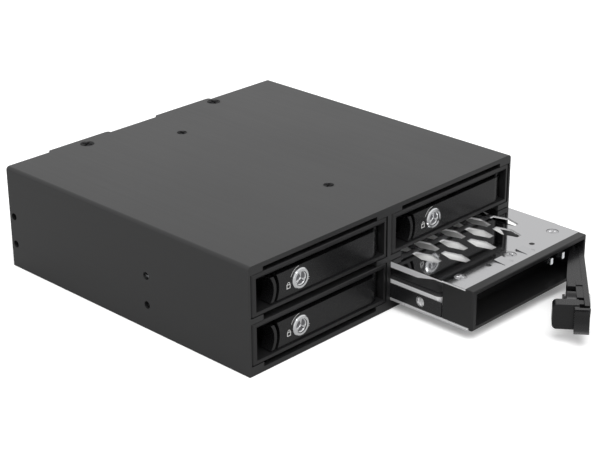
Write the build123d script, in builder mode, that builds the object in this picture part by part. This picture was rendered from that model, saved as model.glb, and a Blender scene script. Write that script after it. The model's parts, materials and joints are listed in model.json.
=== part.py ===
from build123d import *
import os
from math import sqrt

# Hot swap drive cage that fills one 5.25-inch bay and holds four 2.5-inch drives.
# Sizes are in millimetres. X runs to the right, Y to the back and Z up.
# The origin lies under the middle of the base. A tray is drawn with its own origin
# at the middle of its bezel's lower front edge, and placed in its bay at the end.

# Cage
cage_height = 42.5
tray_clear = 0.125
board_clear = 2.0
fan_room = 5.0
sheet = 1.0
bend_radius = 1.5
centre_thickness = 2.0
shelf_gauge = 0.8
lip_height = 1.85
slot_low = 2.0
slot_top = 1.85
row_gap = 2.55
slot_end = 6.0
frame_depth = 2.0
side_hole_radius = 1.5
side_hole_rear = 2.75
side_hole_span = 79.25
side_hole_low = 10.0
side_hole_rise = 11.84
rear_tab = 1.6
ear_length = 14.0
ear_height = 24.0
mid_bar_height = 1.35
mid_bar_front = 4.0
mid_bar_gauge = 1.2

# Tray and its bezel
bezel_gap = 0.4
bezel_depth = 14.0
bar_left = 2.2
bar_right = 1.5
bar_top = 2.6
bar_bottom = 1.5
bar_bevel = 1.1
bar_depth = 3.0
cavity_wall = 0.8
moulded_wall = 1.2
cavity_floor = 0.5
rear_wall = 1.0
tray_end = 1.2
tray_wall = 0.4
tray_floor = 1.0
wall_height = 7.0
floor_start = 1.6
cover_gauge = 0.8
cover_start = 3.6
cover_flange = 2.6
cover_flange_gauge = 0.6
rear_post = 14.0
hex_length = 12.3
hex_width = 6.3
hex_flat = 2.8
hex_pitch = 15.7
hex_row = 7.4
hex_start = 24.0
hex_end = 8.0
rivet_depth = 11.4
middle_rivet_depth = 10.3
rivet_spread = 28.3
rivet_radius = 2.4
rivet_shank = 1.2
tab_place = 6.7
tab_width = 4.6
tab_start = 5.6
tab_length = 5.4
tab_rise = 0.6
tab_gap = 0.35

# Lever, its latch and its lock
lever_clear = 0.25
lever_height = 10.3
lever_set_back = 0.8
lever_plate = 2.0
lever_depth = 7.5
lever_flange = 1.4
lever_turn_radius = 7.0
lever_turn = 48.0
flange_drop = 0.3
lever_turn_inset = 5.5
pin_inset = 2.2
pin_depth = 4.4
pin_radius = 0.7
pin_fit = 0.05
barrel_radius = 1.25
lever_open_angle = 38.0
thumb_radius = 9.05
thumb_wall = 1.3
thumb_gap = 1.4
thumb_depth = 5.6
latch_travel = 1.2
latch_box_width = 4.8
latch_box_depth = 13.4
latch_gap = 0.2
lock_inset = 24.7
lock_ring_radius = 4.0
lock_body_radius = 3.7
lock_plug_radius = 2.75
lock_length = 8.2
boss_radius = 4.6
boss_end = 8.8
keyway_depth = 1.7
cam_length = 5.0
cam_width = 2.6
cam_gauge = 0.9
pipe_width = 1.2
pipe_height = 2.4
pipe_front = 6.5
pipe_places = (22.2, 29.7)

# The lower right tray stands pulled out with its lever open
pulled_out = 39.0

# Drive
drive_width = 69.85
drive_length = 100.2
drive_height = 9.5
drive_front = 15.0
drive_clear = 0.05
drive_hole_rear = 14.0
drive_hole_front = 90.6
drive_hole_height = 3.0
drive_screw_radius = 1.5
drive_screw_head = 2.0
drive_screw_length = 3.4
cover_inset = 1.1
cover_rise = 1.0
plug_width = 33.4
plug_height = 4.2

# Backplane, its connectors, the fans and the rear panel
board_gauge = 1.6
board_edge = 0.6
socket_width = 36.0
socket_height = 6.0
socket_depth = 2.6
blade_width = 30.0
blade_gauge = 1.2
blade_reach = 3.4
fan_gap = 1.25
fan_depth = 10.0
fan_rim = 1.1
fan_side = 3.0
fan_hole_inset = 3.0
fan_screw_radius = 1.4
rotor_clear = 0.6
hub_radius = 9.5
hub_wall = 1.0
blade_count = 7
spindle_radius = 1.0
port_side = 4.0
port_window_height = 27.0
flat_screw_shift = 1.4
flat_screw_inset = 3.6
rivet_front = 31.0
rivet_back = 22.0
wall_flange = (14.0, 10.0)
wall_slot_shift = 1.8
shelf_slot_shift = 2.6
pan_slot_shift = 0.9

# Worked out from the sizes above
tray_width = drive_width + 2 * (drive_clear + tray_wall)
bay_width = tray_width + 2 * tray_clear
inner_x = bay_width + centre_thickness / 2
cage_width = 2 * (inner_x + sheet)
drive_back = drive_front + drive_length
tray_length = drive_back + tray_end
board_front = tray_length + board_clear
cage_depth = board_front + board_gauge + fan_room + fan_depth + sheet
front_y = -cage_depth / 2
back_y = cage_depth / 2
bay_x = (centre_thickness + bay_width) / 2
side_hole_front = cage_depth - side_hole_rear - side_hole_span
lower_z = lip_height + slot_low
tray_height = (cage_height - lower_z - lip_height - slot_top - row_gap) / 2
upper_z = lower_z + tray_height + row_gap
mid_z = lower_z + tray_height + row_gap / 2
mid_bar_back = mid_bar_front + mid_bar_gauge
bezel_width = bay_width - 2 * bezel_gap
pin_x = bezel_width / 2 - pin_inset
lock_x = lock_inset - bezel_width / 2
arc_x = 3.85 - bezel_width / 2
lever_bottom = bar_bottom + lever_clear
lever_top = lever_bottom + lever_height
lever_mid = (lever_bottom + lever_top) / 2
lever_back = lever_set_back + lever_depth
plate_back = lever_set_back + lever_plate
opening_top = tray_height - bar_top
cavity_bottom = tray_floor + cavity_floor
cover_bottom = tray_height - cover_gauge
cavity_top = cover_bottom - moulded_wall
cavity_back = bezel_depth - rear_wall
board_y = front_y + board_front
rear_inner = back_y - sheet
fan_z = cage_height / 2
fan_size = cage_height - 2 * (sheet + fan_gap)
fan_x = inner_x - fan_side - fan_size / 2
fan_bore = fan_size / 2 - fan_rim
fan_hole_pitch = fan_size / 2 - fan_hole_inset
rotor_radius = fan_bore - rotor_clear
port_window = 2 * (fan_x - fan_size / 2 - port_side)
flat_screw_x = bay_x - flat_screw_shift
flat_screw_y = back_y - flat_screw_inset
hex_rows = int((tray_length - hex_start - hex_end) / hex_row) + 1

TRAYS = {
    "upper_left": (-bay_x, upper_z, 0.0),
    "lower_left": (-bay_x, lower_z, 0.0),
    "upper_right": (bay_x, upper_z, 0.0),
    "lower_right": (bay_x, lower_z, pulled_out),
}


def facing_front(depth):
    """Plane parallel to the front at a depth: its x is X and its y is Z."""
    return Plane.XZ.offset(-depth)


def save(part, name):
    """Label a finished piece and write it as its own file."""
    part.label = name
    export_step(part, f"parts/{name}.step")


os.makedirs("parts", exist_ok=True)


# Outer shell: one bent sheet makes the top and both sides, with shallow tabs at the rear
with BuildPart() as outer_shell:
    with BuildSketch(facing_front(front_y)):
        with BuildLine():
            half = cage_width / 2
            Polyline((-half, 0), (-half, cage_height - bend_radius))
            RadiusArc((-half, cage_height - bend_radius), (-half + bend_radius, cage_height), bend_radius)
            Line((-half + bend_radius, cage_height), (half - bend_radius, cage_height))
            RadiusArc((half - bend_radius, cage_height), (half, cage_height - bend_radius), bend_radius)
            Polyline((half, cage_height - bend_radius), (half, 0), (half - sheet, 0),
                     (half - sheet, cage_height - sheet), (sheet - half, cage_height - sheet),
                     (sheet - half, 0), (-half, 0))
        make_face()
    extrude(amount=-cage_depth)
    with BuildSketch(Plane.XY.offset(cage_height - sheet)):
        with Locations((-35.5, back_y), (21.2, back_y)):
            RectangleRounded(31.5, 2 * rear_tab, rear_tab * 0.9)
    extrude(amount=sheet)
    # Threaded side holes of the bay's standard, and flush seats for the screws and rivets on top
    with BuildSketch(Plane.YZ.offset(-cage_width / 2)):
        with Locations((front_y + side_hole_front + side_hole_span / 2, side_hole_low + side_hole_rise / 2)):
            with GridLocations(side_hole_span, side_hole_rise, 2, 2):
                Circle(side_hole_radius)
    extrude(amount=cage_width, mode=Mode.SUBTRACT)
    with Locations((-flat_screw_x, flat_screw_y, cage_height), (flat_screw_x, flat_screw_y, cage_height)):
        CounterSinkHole(radius=1.6, counter_sink_radius=3.0, counter_sink_angle=90, depth=sheet)
    with Locations((0, front_y + rivet_front, cage_height), (0, back_y - rivet_back, cage_height)):
        CounterSinkHole(radius=1.25, counter_sink_radius=2.2, counter_sink_angle=90, depth=sheet)
save(outer_shell.part, "outer_shell")

# Base pan: flat sheet between the shell's sides, with an upturned ear in each rear corner
with BuildPart() as base_pan:
    with BuildSketch(Plane.XY):
        Rectangle(2 * inner_x, cage_depth)
    extrude(amount=sheet)
    with BuildSketch(Plane.XY.offset(sheet)):
        with Locations((sheet / 2 - inner_x, back_y - ear_length / 2), (inner_x - sheet / 2, back_y - ear_length / 2)):
            Rectangle(sheet, ear_length)
    extrude(amount=ear_height)
    with BuildSketch(Plane.YZ.offset(-inner_x)):
        with Locations((front_y + side_hole_front + side_hole_span, side_hole_low + side_hole_rise / 2)):
            with GridLocations(1.0, side_hole_rise, 1, 2):
                Circle(side_hole_radius)
    extrude(amount=2 * inner_x, mode=Mode.SUBTRACT)
    # Slots under each tray let air through and make the pan lighter
    with BuildSketch(Plane.XY):
        with Locations((-bay_x, 4.0), (bay_x, 4.0)):
            with GridLocations(20.0, 36.0, 3, 2):
                SlotOverall(26.0, 5.0, rotation=90)
    extrude(amount=sheet, mode=Mode.SUBTRACT)
save(base_pan.part, "base_pan")

# Front frame: rails above and below, a bar set far back between the rows and the centre post
rail_top = cage_height - sheet
with BuildPart() as front_frame:
    with BuildSketch(facing_front(front_y)):
        with Locations((0, (sheet + rail_top) / 2)):
            Rectangle(2 * inner_x, rail_top - sheet)
        with Locations((-bay_x, cage_height / 2), (bay_x, cage_height / 2)):
            Rectangle(bay_width, cage_height - 2 * lip_height, mode=Mode.SUBTRACT)
    extrude(amount=-frame_depth)
    # Spacer tabs at both ends of every slot
    with BuildSketch(facing_front(front_y)):
        for bay in (-bay_x, bay_x):
            for side in (-1, 1):
                tab_x = bay + side * (bay_width - slot_end) / 2
                low_height = slot_low - latch_gap
                top_height = slot_top - latch_gap
                with Locations((tab_x, lip_height + low_height / 2)):
                    Rectangle(slot_end, low_height)
                with Locations((tab_x, cage_height - lip_height - top_height / 2)):
                    Rectangle(slot_end, top_height)
    extrude(amount=-frame_depth)
    with BuildSketch(facing_front(front_y)):
        with Locations((-bay_x, mid_z), (bay_x, mid_z)):
            with GridLocations(bay_width - slot_end, 1.0, 2, 1):
                Rectangle(slot_end, row_gap - 2 * latch_gap)
    extrude(amount=-mid_bar_back)
    with BuildSketch(facing_front(front_y + mid_bar_front)):
        with Locations((-bay_x, mid_z), (bay_x, mid_z)):
            Rectangle(bay_width, mid_bar_height)
    extrude(amount=-mid_bar_gauge)
save(front_frame.part, "front_frame")

# Centre wall: upright sheet between the bays with a flange under the top
with BuildPart() as centre_wall:
    with BuildSketch(Plane.YZ.offset(-centre_thickness / 2)):
        with Locations(((front_y + frame_depth + board_y) / 2, cage_height / 2)):
            Rectangle(board_y - front_y - frame_depth, cage_height - 2 * sheet)
        with Locations(((front_y + frame_depth + board_y) / 2 + wall_slot_shift, cage_height / 2)):
            with GridLocations(30.0, 19.0, 3, 2):
                Rectangle(20.0, 6.0, mode=Mode.SUBTRACT)
    extrude(amount=centre_thickness)
    with BuildSketch(Plane.XY.offset(cage_height - sheet)):
        with Locations((0, front_y + rivet_front), (0, back_y - rivet_back)):
            Rectangle(*wall_flange)
    extrude(amount=-shelf_gauge)
    with Locations((0, front_y + rivet_front, cage_height - sheet), (0, back_y - rivet_back, cage_height - sheet)):
        Hole(radius=1.25, depth=3.0)
save(centre_wall.part, "centre_wall")

# Middle shelves: one sheet in each bay carries the upper tray
shelf_z = mid_z - shelf_gauge / 2
shelf_front = front_y + mid_bar_back + latch_gap
with BuildPart() as middle_shelves:
    with BuildSketch(Plane.XY.offset(shelf_z)):
        shelf_length = board_y - shelf_front - 1.0
        with Locations((-bay_x, shelf_front + shelf_length / 2), (bay_x, shelf_front + shelf_length / 2)):
            Rectangle(bay_width, shelf_length)
        slot_y = shelf_front + shelf_length / 2 + shelf_slot_shift
        with Locations((-bay_x, slot_y), (bay_x, slot_y)):
            with GridLocations(20.0, 34.0, 3, 2):
                Rectangle(8.0, 24.0, mode=Mode.SUBTRACT)
    extrude(amount=shelf_gauge)
save(middle_shelves.part, "middle_shelves")

# Guide runners: slippery strips under both edges of every tray
runner_width = 3.0
runner_start = front_y + 8.0
runner_end = board_y - 6.0
runner_clear = 0.2
with BuildPart() as guide_runners:
    for floor_z, tray_z in ((sheet, lower_z), (shelf_z + shelf_gauge, upper_z)):
        with BuildSketch(Plane.XY.offset(floor_z)):
            for bay in (-bay_x, bay_x):
                with Locations((bay, (runner_start + runner_end) / 2)):
                    with GridLocations(bay_width - 2 * runner_width, 1.0, 2, 1):
                        Rectangle(runner_width, runner_end - runner_start)
        extrude(amount=tray_z - runner_clear - floor_z)
save(guide_runners.part, "guide_runners")

# Backplane board with a window behind each drive for the air
with BuildPart() as backplane_board:
    with BuildSketch(facing_front(board_y)):
        with Locations((0, cage_height / 2)):
            Rectangle(2 * (inner_x - board_edge), cage_height - 2 * sheet - 2 * board_edge)
        for bay in (-bay_x, bay_x):
            for tray_z in (lower_z, upper_z):
                with Locations((bay, tray_z + 12.0)):
                    with GridLocations(22.0, 1.0, 3, 1):
                        Rectangle(16.0, 4.6, mode=Mode.SUBTRACT)
    extrude(amount=-board_gauge)
save(backplane_board.part, "backplane_board")

# Drive sockets: housing against the board with a contact blade that enters the drive's plug
socket_z = tray_floor + 3.4
with BuildPart() as drive_sockets:
    for bay in (-bay_x, bay_x):
        for tray_z in (lower_z, upper_z):
            with BuildSketch(facing_front(board_y)):
                with Locations((bay, tray_z + socket_z)):
                    RectangleRounded(socket_width, socket_height, 0.8)
            extrude(amount=socket_depth)
            with BuildSketch(facing_front(board_y - socket_depth)):
                with Locations((bay, tray_z + socket_z)):
                    Rectangle(blade_width, blade_gauge)
            extrude(amount=blade_reach)
save(drive_sockets.part, "drive_sockets")

# Data ports: four upright headers with an L-shaped contact tongue on the back of the board
board_back = board_y + board_gauge
port_depth = 10.0
with BuildPart() as data_ports:
    for port_x in (-18.0, -6.5):
        for port_z in (13.0, 29.0):
            with BuildSketch(facing_front(board_back)):
                with Locations((port_x, port_z)):
                    Rectangle(6.2, 13.0)
            extrude(amount=-port_depth)
            with BuildSketch(facing_front(board_back + 2.0)):
                with Locations((port_x, port_z)):
                    Rectangle(4.4, 11.2)
            extrude(amount=2.0 - port_depth, mode=Mode.SUBTRACT)
            with BuildSketch(facing_front(board_back + 2.0)):
                with Locations((port_x - 0.5, port_z)):
                    Rectangle(1.2, 9.6)
                with Locations((port_x + 0.3, port_z - 4.2)):
                    Rectangle(1.6, 1.2)
            extrude(amount=3.5 - port_depth)
save(data_ports.part, "data_ports")

# Power ports: two wider headers beside the data ports
with BuildPart() as power_ports:
    for port_z in (13.5, 28.5):
        with BuildSketch(facing_front(board_back)):
            with Locations((13.0, port_z)):
                Rectangle(24.0, 7.4)
        extrude(amount=-port_depth)
        with BuildSketch(facing_front(board_back + 2.0)):
            with Locations((13.0, port_z)):
                Rectangle(22.0, 5.4)
        extrude(amount=2.0 - port_depth, mode=Mode.SUBTRACT)
        with BuildSketch(facing_front(board_back + 2.0)):
            with Locations((13.0, port_z - 0.6)):
                Rectangle(20.4, 1.3)
            with Locations((3.4, port_z + 0.6)):
                Rectangle(1.2, 1.4)
        extrude(amount=3.5 - port_depth)
save(power_ports.part, "power_ports")

# Rear panel: sheet with two round finger guards, the window for the ports and a top flange
with BuildPart() as rear_panel:
    with BuildSketch(facing_front(rear_inner)):
        with Locations((0, cage_height / 2)):
            Rectangle(2 * (inner_x - sheet), cage_height - 2 * sheet)
            RectangleRounded(port_window, port_window_height, 1.5, mode=Mode.SUBTRACT)
        for guard_x in (-fan_x, fan_x):
            with Locations((guard_x, fan_z)):
                Circle(rotor_radius, mode=Mode.SUBTRACT)
                for ring_radius in (13.6, 9.6, 5.6):
                    Circle(ring_radius + 0.7)
                    Circle(ring_radius - 0.7, mode=Mode.SUBTRACT)
                Circle(2.6)
                Rectangle(1.5, 2 * rotor_radius + 1.0, rotation=45)
                Rectangle(1.5, 2 * rotor_radius + 1.0, rotation=-45)
                with GridLocations(2 * fan_hole_pitch, 2 * fan_hole_pitch, 2, 2):
                    Circle(fan_screw_radius, mode=Mode.SUBTRACT)
    extrude(amount=-sheet)
    with BuildSketch(Plane.XY.offset(cage_height - sheet)):
        with Locations((-flat_screw_x, rear_inner - 3.5), (flat_screw_x, rear_inner - 3.5)):
            Rectangle(18.0, 7.0)
    extrude(amount=-sheet)
    with Locations((-flat_screw_x, flat_screw_y, cage_height - sheet), (flat_screw_x, flat_screw_y, cage_height - sheet)):
        Hole(radius=1.6, depth=sheet)
save(rear_panel.part, "rear_panel")

# Fan housings: square frame with a round duct, and a hub cup held by three struts
fan_front = rear_inner - fan_depth
with BuildPart() as fan_frames:
    for guard_x in (-fan_x, fan_x):
        with BuildSketch(facing_front(fan_front)):
            with Locations((guard_x, fan_z)):
                RectangleRounded(fan_size, fan_size, 2.5)
                Circle(fan_bore, mode=Mode.SUBTRACT)
                with GridLocations(2 * fan_hole_pitch, 2 * fan_hole_pitch, 2, 2):
                    Circle(fan_screw_radius, mode=Mode.SUBTRACT)
        extrude(amount=-fan_depth)
        with BuildSketch(facing_front(fan_front)):
            with Locations((guard_x, fan_z)):
                Circle(hub_radius)
                with PolarLocations(0, 3, start_angle=90):
                    with Locations((fan_bore / 2, 0)):
                        Rectangle(fan_bore + 0.6, 1.8)
        extrude(amount=-1.2)
        # Bush that holds the rotor's spindle
        with BuildSketch(facing_front(fan_front + 1.2)):
            with Locations((guard_x, fan_z)):
                Circle(3.0)
        extrude(amount=-5.0)
        with BuildSketch(facing_front(fan_front)):
            with Locations((guard_x, fan_z)):
                Circle(spindle_radius + pin_fit)
        extrude(amount=-6.2, mode=Mode.SUBTRACT)
save(fan_frames.part, "fan_frames")


def make_rotor(centre_x):
    """Cup hub on a spindle with twisted blades, turning about the fan's axis."""
    cup_front = fan_front + 1.6
    cup_back = rear_inner - 0.6
    with BuildPart() as rotor:
        with BuildSketch(facing_front(cup_front)):
            with Locations((centre_x, fan_z)):
                Circle(hub_radius)
        extrude(amount=cup_front - cup_back)
        with BuildSketch(facing_front(cup_front)):
            with Locations((centre_x, fan_z)):
                Circle(hub_radius - hub_wall)
        extrude(amount=cup_front - cup_back + hub_wall, mode=Mode.SUBTRACT)
        with BuildSketch(facing_front(fan_front + 0.4)):
            with Locations((centre_x, fan_z)):
                Circle(spindle_radius)
        extrude(amount=fan_front + 0.8 - cup_back)
        # A blade is lofted from a root section in the hub to a tip that is turned further
        root_plane = Plane(origin=(centre_x, 0, fan_z + hub_radius - hub_wall / 2), x_dir=(1, 0, 0), z_dir=(0, 0, 1))
        tip_plane = Plane(origin=(centre_x, 0, fan_z + rotor_radius - 1.2), x_dir=(1, 0, 0), z_dir=(0, 0, 1))
        blade_y = (cup_front + cup_back) / 2
        with BuildSketch(root_plane):
            with Locations((0, blade_y)):
                Rectangle(7.2, 0.9, rotation=48)
        with BuildSketch(tip_plane):
            with Locations((2.2, blade_y)):
                Rectangle(8.4, 0.7, rotation=32)
        loft(ruled=True)
    blade_axis = Axis((centre_x, 0, fan_z), (0, 1, 0))
    with BuildPart() as whole:
        for turn in range(blade_count):
            add(rotor.part.rotate(blade_axis, turn * 360 / blade_count))
    return whole.part


save(make_rotor(-fan_x), "fan_rotor_left")
save(make_rotor(fan_x), "fan_rotor_right")

# Screws: eight hold the fans through the rear panel, and two flat heads hold the top
with BuildPart() as case_screws:
    with BuildSketch(facing_front(back_y)):
        for guard_x in (-fan_x, fan_x):
            with Locations((guard_x, fan_z)):
                with GridLocations(2 * fan_hole_pitch, 2 * fan_hole_pitch, 2, 2):
                    Circle(2.4)
    extrude(amount=-1.0)
    with BuildSketch(facing_front(back_y)):
        for guard_x in (-fan_x, fan_x):
            with Locations((guard_x, fan_z)):
                with GridLocations(2 * fan_hole_pitch, 2 * fan_hole_pitch, 2, 2):
                    Circle(fan_screw_radius - pin_fit)
    extrude(amount=7.0)
    with Locations((-flat_screw_x, flat_screw_y, cage_height - sheet / 2 - 0.05), (flat_screw_x, flat_screw_y, cage_height - sheet / 2 - 0.05)):
        Cone(bottom_radius=1.9, top_radius=2.85, height=sheet - 0.1)
    with Locations((-flat_screw_x, flat_screw_y, cage_height - 1.2), (flat_screw_x, flat_screw_y, cage_height - 1.2)):
        Cylinder(radius=1.5, height=1.6)
save(case_screws.part, "case_screws")

# Rivets: flush heads that hold the top to the centre wall's flange
with BuildPart() as top_rivets:
    with Locations((0, front_y + rivet_front, cage_height - 0.45), (0, back_y - rivet_back, cage_height - 0.45)):
        Cone(bottom_radius=1.35, top_radius=2.1, height=0.8)
    with Locations((0, front_y + rivet_front, cage_height - 1.4), (0, back_y - rivet_back, cage_height - 1.4)):
        Cylinder(radius=1.2, height=2.4)
save(top_rivets.part, "top_rivets")


# Where the latch's hook box lies, left of the lever's flanges
channel_left = lock_x - boss_radius
box_right = channel_left - latch_travel - 0.6
box_left = box_right - latch_box_width
hook_clear = 0.8
rivet_places = ((-rivet_spread, rivet_depth), (0.0, middle_rivet_depth), (rivet_spread, rivet_depth))

# Bezel: deep moulded box around the lever's cavity, with recesses for the cover and the floor
with BuildPart() as bezel:
    with BuildSketch(facing_front(0)):
        with Locations((0, tray_height / 2)):
            Rectangle(bezel_width, tray_height)
    extrude(amount=-bezel_depth)
    fillet(bezel.edges().filter_by(Axis.Z).sort_by(Axis.Y)[:2], radius=0.8)
    fillet(bezel.faces().sort_by(Axis.Y)[0].edges(), radius=0.4)
    with BuildSketch(facing_front(0)):
        with Locations(((bar_left - bar_right) / 2, (bar_bottom + opening_top) / 2)):
            Rectangle(bezel_width - bar_left - bar_right, opening_top - bar_bottom)
    extrude(amount=-bar_depth, mode=Mode.SUBTRACT)
    brow = bezel.edges().filter_by(Axis.X).filter_by_position(Axis.Z, opening_top - 0.1, opening_top + 0.1)
    chamfer(brow.sort_by(Axis.Y)[0], length=bar_bevel)
    with BuildSketch(facing_front(bar_depth)):
        with Locations((0, (cavity_bottom + cavity_top) / 2)):
            RectangleRounded(bezel_width - 2 * cavity_wall, cavity_top - cavity_bottom, 0.6)
    extrude(amount=bar_depth - cavity_back, mode=Mode.SUBTRACT)
    with BuildSketch(Plane.XY.offset(cover_bottom)):
        with Locations((0, (cover_start + bezel_depth) / 2)):
            Rectangle(bezel_width, bezel_depth - cover_start)
    extrude(amount=cover_gauge, mode=Mode.SUBTRACT)
    with BuildSketch(Plane.XY):
        with Locations((0, (floor_start - 0.1 + bezel_depth) / 2)):
            Rectangle(bezel_width, bezel_depth - floor_start + 0.1)
    extrude(amount=tray_floor, mode=Mode.SUBTRACT)
    # Seats of the hinge pin, then the rear wall's windows: light pipes, air and the latch's hook box
    with BuildSketch(Plane.XY):
        with Locations((pin_x, pin_depth)):
            Circle(pin_radius + pin_fit)
    extrude(amount=tray_height, mode=Mode.SUBTRACT)
    with BuildSketch(facing_front(cavity_back)):
        for pipe_x in pipe_places:
            with Locations((pipe_x, lever_mid)):
                Rectangle(pipe_width + 0.1, pipe_height + 0.1)
        with Locations((3.0, lever_mid)):
            with GridLocations(11.0, 1.0, 3, 1):
                Rectangle(8.0, 3.2)
        with Locations(((box_left + box_right + latch_travel) / 2, lever_mid)):
            Rectangle(latch_box_width + latch_travel + 2 * hook_clear, lever_height + 0.2)
    extrude(amount=-rear_wall, mode=Mode.SUBTRACT)
    with BuildSketch(Plane.XY.offset(cover_bottom)):
        with Locations(*rivet_places):
            Circle(rivet_shank + pin_fit)
    extrude(amount=-moulded_wall, mode=Mode.SUBTRACT)

# Tray: steel floor with thin low side walls, and taller posts at the rear for the cover
with BuildPart() as tray_pan:
    half = tray_width / 2
    with BuildSketch(Plane.XY):
        with Locations((0, (floor_start + tray_length) / 2)):
            Rectangle(tray_width, tray_length - floor_start)
        with Locations((0, (drive_front + drive_back) / 2 + pan_slot_shift)):
            with GridLocations(1.0, 28.0, 1, 3):
                Rectangle(42.0, 16.0, mode=Mode.SUBTRACT)
    extrude(amount=tray_floor)
    with BuildSketch(Plane.YZ.offset(-half)):
        with BuildLine():
            Polyline((bezel_depth + 0.2, tray_floor), (bezel_depth + 0.2, wall_height),
                     (tray_length - rear_post - 3.0, wall_height), (tray_length - rear_post, cover_bottom),
                     (tray_length, cover_bottom), (tray_length, tray_floor), (bezel_depth + 0.2, tray_floor))
        make_face()
    extrude(amount=tray_wall)
    mirror(about=Plane.YZ)
    with BuildSketch(Plane.YZ.offset(-half)):
        with Locations((drive_back - drive_hole_rear, tray_floor + drive_hole_height),
                       (drive_back - drive_hole_front, tray_floor + drive_hole_height)):
            Circle(drive_screw_head + 0.1)
    extrude(amount=tray_width, mode=Mode.SUBTRACT)
    fillet(tray_pan.edges().filter_by(Axis.Z).sort_by(Axis.Y)[:2], radius=0.8)

# Cover: steel plate with stretched hexagon windows and a short flange down each side
with BuildPart() as tray_cover:
    half = tray_width / 2
    flange_start = bezel_depth + 4.0
    flange_end = tray_length - rear_post - 4.0
    with BuildSketch(Plane.XY.offset(cover_bottom)):
        with Locations((0, (cover_start + tray_length) / 2)):
            Rectangle(bezel_width, tray_length - cover_start)
        with Locations((0, (bezel_depth + 0.3 + tray_length) / 2)):
            Rectangle(tray_width, tray_length - bezel_depth - 0.3)
    extrude(amount=cover_gauge)
    with BuildSketch(Plane.YZ.offset(-half)):
        with BuildLine():
            Polyline((flange_start, cover_bottom), (flange_start + 8.0, cover_bottom - cover_flange + cover_gauge),
                     (flange_end, cover_bottom - cover_flange + cover_gauge), (flange_end, cover_bottom),
                     (flange_start, cover_bottom))
        make_face()
    extrude(amount=cover_flange_gauge)
    mirror(about=Plane.YZ)
    with BuildSketch(Plane.XY.offset(cover_bottom)):
        for row in range(hex_rows):
            columns = 3 + row % 2
            with Locations((0, hex_start + row * hex_row)):
                with GridLocations(hex_pitch, 1.0, columns, 1):
                    Polygon((-hex_width / 2, 0), (-hex_flat / 2, hex_length / 2), (hex_flat / 2, hex_length / 2),
                            (hex_width / 2, 0), (hex_flat / 2, -hex_length / 2), (-hex_flat / 2, -hex_length / 2))
        with Locations(*rivet_places):
            Circle(rivet_radius + pin_fit)
        with Locations((-13.3, middle_rivet_depth - 0.2), (13.3, middle_rivet_depth - 0.2)):
            Circle(1.1)
        with Locations((-tab_place, tab_start + (tab_length + tab_gap) / 2), (tab_place, tab_start + (tab_length + tab_gap) / 2)):
            Rectangle(tab_width + 2 * tab_gap, tab_length + tab_gap)
    extrude(amount=cover_gauge, mode=Mode.SUBTRACT)
    # Two spring tabs stay joined at their front and rise towards the rear
    for side in (-1, 1):
        with BuildSketch(Plane.YZ.offset(side * tab_place - tab_width / 2)):
            with BuildLine():
                Polyline((tab_start - 0.2, cover_bottom), (tab_start - 0.2, tray_height), (tab_start, tray_height),
                         (tab_start + tab_length, tray_height + tab_rise),
                         (tab_start + tab_length, cover_bottom + tab_rise), (tab_start - 0.2, cover_bottom))
            make_face()
        extrude(amount=tab_width)

# Rivets between cover and bezel
with BuildPart() as cover_rivets:
    with BuildSketch(Plane.XY.offset(tray_height)):
        with Locations(*rivet_places):
            Circle(rivet_radius)
    extrude(amount=-cover_gauge)
    with BuildSketch(Plane.XY.offset(cover_bottom)):
        with Locations(*rivet_places):
            Circle(rivet_shank)
    extrude(amount=-moulded_wall)

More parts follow.
